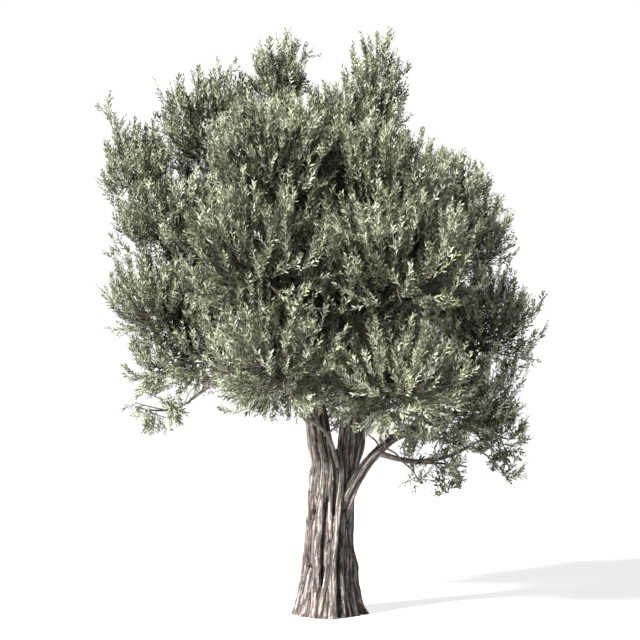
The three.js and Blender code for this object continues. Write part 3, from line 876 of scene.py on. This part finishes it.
def tintAt(rng, place, tone):
    # which tint a spray has: the leaves further inside a mass get painted shade, a darker tint
    reached = np.linalg.norm((place - hearts) / reaches, axis=1)
    inside = (1 - reached.min()) * reaches[reached.argmin()].min()
    lit, dark = growth["litDepth"], growth["fullShadeDepth"]
    shade = 1 - growth["darkest"] * min(1.0, max(0.0, (inside - lit) / (dark - lit)))
    branchlet, own, more = growth["sprayTone"]
    pick = own * rng.random() + branchlet * tone + rng.normal(0, more)
    return int(np.searchsorted(np.cumsum(tintShares), min(0.999, max(0.0, pick)) * shade))


def growMass(name, number, lines, weight, woods, shoots):
    rng = np.random.default_rng(growth["seed"] + number)
    heart, reach = heartOf(name), reachOf(name)
    up, limb, share = masses[name][2], masses[name][5], masses[name][6]
    line = lines[limb if share is None else "bough_" + name]
    hanging = name in hangingMasses
    tip = line[-1]
    stemEnd = heart + (heart - tip) * growth["stemEnd"][hanging]
    onward = headingAt(line, 1) * np.linalg.norm(stemEnd - tip)
    stem = bentLine(tip, tip + onward * growth["stemBend"], stemEnd, 9)
    thick = boughTip * (growth["slimStem"] if name in slimArches else 1)
    woods.append((stem, np.linspace(thick, growth["stemThin"], 9)))
    lift = growth["hangingLift"] if hanging else growth["lift"] + growth["lift"] * (up - growth["liftFrom"])
    size = min(1.0, min(reach) / growth["fullSize"])
    shootsEach = growth["twigsEach"] * len(growth["shootPlaces"])
    count = hangingMasses.get(name) or max(growth["fewest"], round(growth["shoots"] * weight / shootsEach))
    first, last = growth["alongStem"]
    for i in range(count):
        level = 1 - growth["levels"] * (i + 0.5) / count
        low = max(0.0, -level) * (1 if up < growth["skirtsBelow"] else growth["otherDroop"])
        usual, higher, lower = growth["rises"]
        rise = lift if hanging else lift * (usual + higher * level) * (1 - lower * low)
        flat = math.sqrt(1 - level * level)
        around = math.pi * (3 - math.sqrt(5)) * i + number
        way = np.array((math.cos(around) * flat, math.sin(around) * flat, level))
        end = heart + way * reach * rng.uniform(*growth["branchletEnd"])
        foot = placeAt(stem, first + (last - first) * i / count if hanging else rng.uniform(first, last))
        span = np.linalg.norm(end - foot)
        sag = 0 if hanging else growth["sag"] * span
        bend = (foot + end) / 2 + rng.normal(0, growth["sway"] * span, 3) - upwards * sag
        branchlet = bentLine(foot, bend, end, 6)
        woods.append((branchlet, np.linspace(*growth["branchletThick"], 6)))
        tone = rng.random()
        for j in range(growth["twigsEach"]):
            bare = growth["bare"]
            at = min(1.0, bare + (1 - bare) * (j + rng.uniform(*growth["twigPlace"])) / growth["twigsEach"])
            root = placeAt(branchlet, at)
            outer = unit((root - heart) / reach / reach)
            onward, outwards, loose = growth["twigAim"]
            heading = (onward * headingAt(branchlet, at) + outwards * outer + rise * upwards
                       + rng.normal(0, loose, 3))
            length = rng.uniform(*growth["twigLength"]) * size
            limit = rng.uniform(*growth["edge"])
            growTwig(rng, root, unit(heading), length, outer, rise, size, tone, limit, woods, shoots)


looseTwigs = {
    "firstSeed": 100,
    "bare": 0.3,
    "length": (0.05, 0.12),
    "aim": (0.7, 0.6, 0.1),     # shares of the branch's heading, of some way to the side, and of up
    "rise": 0.3,
    "size": 0.62,
}


def growAlong(number, line, twigs, woods, shoots):
    # leafy twigs on the outer part of a loose branch
    rng = np.random.default_rng(growth["seed"] + looseTwigs["firstSeed"] + number)
    for i in range(twigs):
        at = looseTwigs["bare"] + (1 - looseTwigs["bare"]) * (i + 1) / twigs
        side = unit(rng.normal(0, 1, 3))
        onward, sideways, up = looseTwigs["aim"]
        heading = unit(onward * headingAt(line, at) + sideways * side + up * upwards)
        length = rng.uniform(*looseTwigs["length"])
        growTwig(rng, placeAt(line, at), heading, length, side, looseTwigs["rise"], looseTwigs["size"],
                 rng.random(), math.inf, woods, shoots)


def chainMesh(name, chains, fields):
    # loose lines of edges, each point with its fields
    points, edges = [], []
    for chain in chains:
        start = len(points)
        points.extend(chain)
        edges.extend((start + i, start + i + 1) for i in range(len(chain) - 1))
    mesh = bpy.data.meshes.new(name)
    mesh.from_pydata(points, edges, [])
    for field, values in fields.items():
        storeAttribute(mesh, field, "FLOAT", values)
    return mesh


def leafPairMesh(leanDegrees, rollDegrees, size):
    # two narrow leaves, each folded along its midrib, on either side of the shoot, which runs up +Z
    lean, roll = math.radians(leanDegrees), math.radians(rollDegrees)
    points, faces = [], []
    for side in (1, -1):
        start = len(points)
        onward = np.array((side * math.cos(lean), 0, math.sin(lean)))
        facing = np.array((-side * math.sin(lean), 0, math.cos(lean)))
        across = side * math.cos(roll) * np.array((0, 1, 0)) + math.sin(roll) * facing
        above = np.cross(onward, across)
        half = leaf["width"] * size / 2
        root = np.array((side * leaf["stalk"], 0, 0))
        blade = onward * leaf["length"] * size
        widest = root + blade * leaf["widestAt"] + above * leaf["fold"] * half * 2
        points += [root, widest + across * half, root + blade, widest - across * half]
        faces += [(start, start + 1, start + 2), (start, start + 2, start + 3)]
    return meshOf("leaf_pair", points, faces)


def newTree(name, sizes):
    tree = bpy.data.node_groups.new(name, "GeometryNodeTree")
    tree.interface.new_socket("Geometry", in_out="INPUT", socket_type="NodeSocketGeometry")
    tree.interface.new_socket("Geometry", in_out="OUTPUT", socket_type="NodeSocketGeometry")
    for label, kind in sizes.items():
        tree.interface.new_socket(label, in_out="INPUT", socket_type=kind)
    return tree, addNode(tree, "NodeGroupInput").outputs


def namedField(tree, name):
    return addNode(tree, "GeometryNodeInputNamedAttribute", {"Name": name}).outputs[0]


def product(tree, a, b):
    return addNode(tree, "ShaderNodeMath", {0: a, 1: b}, operation="MULTIPLY").outputs[0]


def leafTree(materials):
    tree, given = newTree("leafSprays", {
        "Leaf kinds": "NodeSocketCollection", "Spacing": "NodeSocketFloat", "Turn": "NodeSocketFloat",
        "Turn spread": "NodeSocketFloat", "Tilt": "NodeSocketVector", "Tilt back": "NodeSocketVector",
        "Smallest": "NodeSocketFloat", "Largest": "NodeSocketFloat", "Seed": "NodeSocketInt"})

    def drawn(inputs, kind="FLOAT"):
        return addNode(tree, "FunctionNodeRandomValue", {**inputs, 8: given["Seed"]}, data_type=kind).outputs

    def turnedBy(rotation, by):
        return addNode(tree, "FunctionNodeRotateRotation", {"Rotation": rotation, "Rotate By": by},
                       rotation_space="LOCAL").outputs[0]

    shoots = addNode(tree, "GeometryNodeMeshToCurve", {"Mesh": given["Geometry"]})
    points = addNode(tree, "GeometryNodeCurveToPoints",
                     {"Curve": shoots.outputs[0], "Length": given["Spacing"]}, mode="LENGTH")
    turn = product(tree, addNode(tree, "GeometryNodeInputIndex").outputs[0], given["Turn"])
    spread = drawn({3: given["Turn spread"]})[1]
    angle = addNode(tree, "ShaderNodeMath", {0: turn, 1: spread}).outputs[0]
    around = addNode(tree, "FunctionNodeAxisAngleToRotation", {"Axis": (0, 0, 1), "Angle": angle}).outputs[0]
    tilt = drawn({0: given["Tilt back"], 1: given["Tilt"]}, "FLOAT_VECTOR")[0]
    tilted = addNode(tree, "FunctionNodeEulerToRotation", {"Euler": tilt}).outputs[0]
    facing = turnedBy(turnedBy(points.outputs["Rotation"], around), tilted)
    varied = drawn({2: given["Smallest"], 3: given["Largest"]})[1]
    pairs = addNode(tree, "GeometryNodeCollectionInfo",
                    {"Collection": given["Leaf kinds"], "Separate Children": True}).outputs[0]
    placed = addNode(tree, "GeometryNodeInstanceOnPoints",
                     {"Points": points.outputs["Points"], "Instance": pairs, "Pick Instance": True,
                      "Rotation": facing, "Scale": product(tree, namedField(tree, "leafSize"), varied)})
    result = addNode(tree, "GeometryNodeRealizeInstances", {"Geometry": placed.outputs[0]}).outputs[0]
    tint = namedField(tree, "tint")
    for number, material in enumerate(materials):
        chosen = addNode(tree, "FunctionNodeCompare", {"A": tint, "B": float(number), "Epsilon": 0.4},
                         operation="EQUAL").outputs[0]
        result = addNode(tree, "GeometryNodeSetMaterial",
                         {"Geometry": result, "Selection": chosen, "Material": material}).outputs[0]
    addNode(tree, "NodeGroupOutput", {"Geometry": result})
    return tree


def twigTree(material):
    tree, given = newTree("twigSkins", {"Sides": "NodeSocketInt", "Thickness": "NodeSocketFloat"})
    line = addNode(tree, "GeometryNodeMeshToCurve", {"Mesh": given["Geometry"]}).outputs[0]
    ring = addNode(tree, "GeometryNodeCurvePrimitiveCircle",
                   {"Resolution": given["Sides"], "Radius": given["Thickness"]}).outputs[0]
    skin = addNode(tree, "GeometryNodeCurveToMesh", {
        "Curve": line, "Profile Curve": ring, "Scale": namedField(tree, "thick"), "Fill Caps": True})
    whole = addNode(tree, "GeometryNodeRealizeInstances", {"Geometry": skin.outputs[0]})
    done = addNode(tree, "GeometryNodeSetMaterial", {"Geometry": whole.outputs[0], "Material": material})
    addNode(tree, "NodeGroupOutput", {"Geometry": done.outputs[0]})
    return tree


def runTree(name, mesh, tree, values):
    piece = newPiece(name, mesh)
    modifier = piece.modifiers.new(tree.name, "NODES")
    modifier.node_group = tree
    for socket in tree.interface.items_tree:
        if socket.in_out == "INPUT" and socket.name in values:
            modifier[socket.identifier] = values[socket.name]
    setPlain(piece)
    for attribute in [one.name for one in piece.data.attributes]:
        if attribute in ("tint", "leafSize", "thick"):
            piece.data.attributes.remove(piece.data.attributes[attribute])
    return piece


def plainMaterial(name, colour, roughness, specular=0.5):
    material = bpy.data.materials.new(name)
    material.use_nodes = True
    shader = material.node_tree.nodes["Principled BSDF"]
    shader.inputs["Base Color"].default_value = (*colour, 1)
    shader.inputs["Roughness"].default_value = roughness
    shader.inputs["Specular IOR Level"].default_value = specular
    return material


def makeFoliage(lines, looseLines, twigMaterial):
    skinShares = {name: float(np.prod(reachOf(name))) ** (2 / 3) for name in masses
                  if name not in hangingMasses}
    total = sum(skinShares.values())
    sprays = leafTree([plainMaterial(name, colour, leaf["roughness"], leaf["specular"])
                       for name, colour in tints.items()])
    skins = twigTree(twigMaterial)
    kinds = bpy.data.collections.new("leaf_kinds")
    for lean, roll, size in leaf["kinds"]:
        kinds.objects.link(bpy.data.objects.new("leaf_pair", leafPairMesh(lean, roll, size)))
    groups = {}
    for number, name in enumerate(masses):
        woods, shoots = groups.setdefault(masses[name][7], ([], []))
        growMass(name, number, lines, skinShares.get(name, 0) / total, woods, shoots)
    for number, (line, _, _, twigs) in enumerate(looseLines):
        growAlong(number, line, twigs, *groups["left" if line[-1][0] < 0 else "right"])
    pieces = []
    for number, (group, (woods, shoots)) in enumerate(groups.items()):
        sizes = [np.array(leaf["alongShoot"]) * size for _, _, size in shoots]
        chains = chainMesh("shoots", [path for path, _, _ in shoots], {
            "tint": np.repeat([tint for _, tint, _ in shoots], len(leaf["alongShoot"])),
            "leafSize": np.concatenate(sizes)})
        foliage = runTree("foliage_" + group, chains, sprays, {
            "Leaf kinds": kinds, "Spacing": leaf["spacing"], "Turn": math.pi / 2,
            "Turn spread": leaf["turnSpread"], "Tilt": leaf["tilt"],
            "Tilt back": [-one for one in leaf["tilt"]],
            "Smallest": leaf["varied"][0], "Largest": leaf["varied"][1], "Seed": number})
        thin = woods + [(path[::3], np.array(growth["shootThick"])) for path, _, _ in shoots]
        thick = np.concatenate([one for _, one in thin])
        chains = chainMesh("twigs", [path for path, _ in thin], {"thick": thick})
        twigs = runTree("twigs_" + group, chains, skins, {"Sides": 3, "Thickness": 1.0})
        print(group, len(shoots), "shoots,", len(foliage.data.polygons), "leaf faces,",
              len(twigs.data.polygons), "twig faces")
        pieces.append((foliage, twigs, [name for name in masses if masses[name][7] == group]))
    for pair in list(kinds.objects):
        bpy.data.objects.remove(pair)
    bpy.data.collections.remove(kinds)
    return pieces


# branches beside the masses' own boughs: the limb that each leaves, how far along it, its two radii, its
# leafy twigs, and the places it passes
looseBranches = [
    # across the trunk's fork
    ("left_stem", 0.04, 0.032, 0.014, 0, [
        (0.09, -0.11, 1.38), (0.098, -0.14, 1.46), (0.0735, -0.155, 1.55), (0.0225, -0.165, 1.727),
        (-0.018, -0.175, 1.818), (-0.069, -0.185, 1.87), (-0.161, -0.21, 1.94), (-0.279, -0.25, 2.018),
        (-0.396, -0.31, 2.15)]),
    ("left_stem", 0.16, 0.012, 0.01, 0, [(0.0, -0.17, 1.83), (0.08, -0.18, 1.905), (0.2, -0.19, 2.02)]),
    # at the crown's outline on the left, and into the gap there
    ("bough_left_wing", 0.95, 0.012, 0.005, 8, [
        (-2.15, -0.02, 4.75), (-2.27, -0.02, 5.0), (-2.32, -0.02, 5.25)]),
    ("bough_left_shoulder", 0.95, 0.01, 0.005, 6, [
        (-1.5, -0.05, 5.0), (-1.62, -0.05, 5.14), (-1.69, -0.05, 5.27)]),
    ("bough_left_shoulder", 0.95, 0.01, 0.005, 6, [
        (-1.14, -0.05, 5.2), (-1.12, -0.05, 5.4), (-1.1, -0.05, 5.56)]),
    ("left_stem", 0.93, 0.01, 0.005, 7, [(-0.38, 0.0, 5.3), (-0.34, -0.02, 5.55), (-0.32, -0.02, 5.74)]),
    ("left_stem", 0.5, 0.014, 0.006, 16, [(-1.1, -0.1, 4.1), (-1.45, -0.12, 4.42), (-1.6, -0.12, 4.72)]),
    ("left_stem", 0.54, 0.014, 0.006, 16, [(-0.95, 0.0, 4.3), (-1.25, 0.02, 4.48), (-1.42, 0.05, 4.75)]),
    # under the crown, left to right, and then behind the crotch
    ("left_stem", 0.2, 0.014, 0.007, 5, [(-0.35, -0.3, 2.14), (-0.57, -0.36, 2.15), (-0.93, -0.4, 2.03)]),
    ("left_stem", 0.22, 0.016, 0.005, 4, [
        (-0.9, -0.1, 2.42), (-1.22, -0.12, 2.39), (-1.4, -0.14, 2.28), (-1.49, -0.15, 2.1)]),
    ("left_stem", 0.2, 0.014, 0.006, 7, [(-0.3, -0.5, 2.26), (-0.55, -0.75, 2.24), (-0.8, -0.9, 2.12)]),
    ("left_stem", 0.2, 0.014, 0.006, 7, [(-0.05, -0.45, 2.22), (-0.03, -0.7, 2.2), (-0.06, -0.9, 2.12)]),
    ("right_stem", 0.18, 0.014, 0.006, 7, [(0.3, -0.4, 2.1), (0.38, -0.6, 2.05), (0.5, -0.8, 1.95)]),
    ("right_stem", 0.2, 0.012, 0.006, 9, [(0.2, 0.25, 2.1), (0.1, 0.35, 2.05), (0.0, 0.4, 1.95)]),
    ("left_stem", 0.2, 0.012, 0.006, 9, [(-0.1, 0.25, 2.15), (0.0, 0.35, 2.15), (0.13, 0.4, 2.0)]),
    # on the side bough: its fork, its leaves, and its bare upright twigs
    ("side_bough", 0.5, 0.03, 0.015, 0, [(0.62, -0.28, 1.74), (0.75, -0.3, 1.82), (0.9, -0.3, 1.98)]),
    ("side_bough", 0.7, 0.012, 0.006, 11, [(0.6, -0.36, 1.8), (0.72, -0.4, 1.81), (0.86, -0.42, 1.75)]),
    ("side_bough", 0.85, 0.012, 0.006, 18, [(0.8, -0.38, 1.84), (1.05, -0.4, 1.79), (1.3, -0.4, 1.7)]),
    ("side_bough", 0.62, 0.012, 0.008, 0, [(0.52, -0.29, 1.76), (0.525, -0.3, 1.88)]),
    ("side_bough", 0.66, 0.012, 0.008, 0, [(0.575, -0.3, 1.78), (0.58, -0.31, 1.87)]),
    ("side_bough", 0.6, 0.011, 0.006, 0, [(0.46, -0.28, 1.76), (0.41, -0.27, 1.8), (0.356, -0.26, 1.87)]),
    # hanging from it and from the low branch that goes on from it
    ("side_bough", 0.62, 0.011, 0.005, 8, [
        (0.67, -0.31, 1.62), (0.74, -0.31, 1.54), (0.82, -0.32, 1.47), (0.91, -0.32, 1.34)]),
    ("bough_right_tail", 0.5, 0.011, 0.005, 8, [
        (1.12, -0.3, 1.46), (1.15, -0.31, 1.36), (1.17, -0.31, 1.24)]),
    ("bough_right_tail", 0.62, 0.011, 0.005, 7, [
        (1.24, -0.29, 1.44), (1.28, -0.3, 1.36), (1.32, -0.3, 1.27)]),
    ("bough_right_tail", 0.9, 0.011, 0.005, 8, [
        (1.62, -0.26, 1.58), (1.72, -0.26, 1.48), (1.8, -0.26, 1.38)]),
]
loosePoints = 22


def makeLooseLines(lines):
    return [(smoothLine([tuple(placeAt(lines[limb], share))] + through, loosePoints), foot, tip, twigs)
            for limb, share, foot, tip, twigs, through in looseBranches]


stage = {
    "floorEdge": 40,
    "camera": (-0.09, -12.45, 1.75),
    "aimHeight": 3.0,
    "lens": 67.6,
    "floor": (0.62, 0.62, 0.62),
    "floorRoughness": 0.9,
    "sky": (1.0, 1.0, 1.0),
    "skySeen": 1.05,        # strength of the backdrop, and of the light that it gives
    "skyLight": 0.09,
    "floorGlow": 0.78,      # lifts the floor's shadow, in the view alone
    "keyStrength": 13.5,
    "keyFrom": (-0.74, -0.64, 0.6),
    "keySoftness": 8,
}


def makeStage():
    edge = stage["floorEdge"]
    corners = [(-edge, -edge, 0), (edge, -edge, 0), (edge, edge, 0), (-edge, edge, 0)]
    floor = newPiece("floor", meshOf("floor", corners, [(0, 1, 2, 3)]))
    material = plainMaterial("pale_floor", stage["floor"], stage["floorRoughness"])
    shader = material.node_tree.nodes["Principled BSDF"]
    shader.inputs["Emission Color"].default_value = (1, 1, 1, 1)
    seen = addNode(material.node_tree, "ShaderNodeLightPath").outputs["Is Camera Ray"]
    glow = rangeOf(material.node_tree, seen, 0, 1, stage["floorGlow"])
    material.node_tree.links.new(glow, shader.inputs["Emission Strength"])
    floor.data.materials.append(material)

    world = bpy.data.worlds.new("studio")
    bpy.context.scene.world = world
    world.use_nodes = True
    seen = addNode(world.node_tree, "ShaderNodeLightPath").outputs["Is Camera Ray"]
    strength = rangeOf(world.node_tree, seen, 0, 1, stage["skySeen"], stage["skyLight"])
    backdrop = world.node_tree.nodes["Background"]
    backdrop.inputs["Color"].default_value = (*stage["sky"], 1)
    world.node_tree.links.new(strength, backdrop.inputs["Strength"])

    key = bpy.data.lights.new("key", "SUN")
    key.energy, key.angle = stage["keyStrength"], math.radians(stage["keySoftness"])
    keyObject = bpy.data.objects.new("key", key)
    keyObject.rotation_euler = Vector(stage["keyFrom"]).to_track_quat("Z", "Y").to_euler()
    bpy.context.scene.collection.objects.link(keyObject)

    lens = bpy.data.cameras.new("camera")
    lens.lens, lens.sensor_width, lens.clip_end = stage["lens"], 36, 200
    camera = bpy.data.objects.new("camera", lens)
    camera.location = stage["camera"]
    _, y, z = stage["camera"]
    camera.rotation_euler = Vector((0, y, z - stage["aimHeight"])).to_track_quat("Z", "Y").to_euler()
    bpy.context.scene.collection.objects.link(camera)
    bpy.context.scene.camera = camera
    bpy.context.scene.view_settings.view_transform = "Standard"


makeStage()
lines = limbLines()
trunkBark = barkMaterial("trunk_bark", trunkLook)
limbBark = barkMaterial("limb_bark", limbLook)
twigBark = plainMaterial("twig_bark", growth["bark"], growth["barkRoughness"])

trunkSkin = makeTrunkSkin(lines)
trunkSkin.data.materials.append(trunkBark)
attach(trunkSkin, "root")
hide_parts("trunk", *mainLimbs)

looseLines = makeLooseLines(lines)
boughs = makeBoughs(lines, looseLines)
boughs.data.materials.append(limbBark)
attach(boughs, "root")
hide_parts(*[name for name in lines if name.startswith("bough_")])

for foliage, twigs, names in makeFoliage(lines, looseLines, twigBark):
    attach(foliage, "root")
    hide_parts(*["leaves_" + name for name in names])
    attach(twigs, "root")
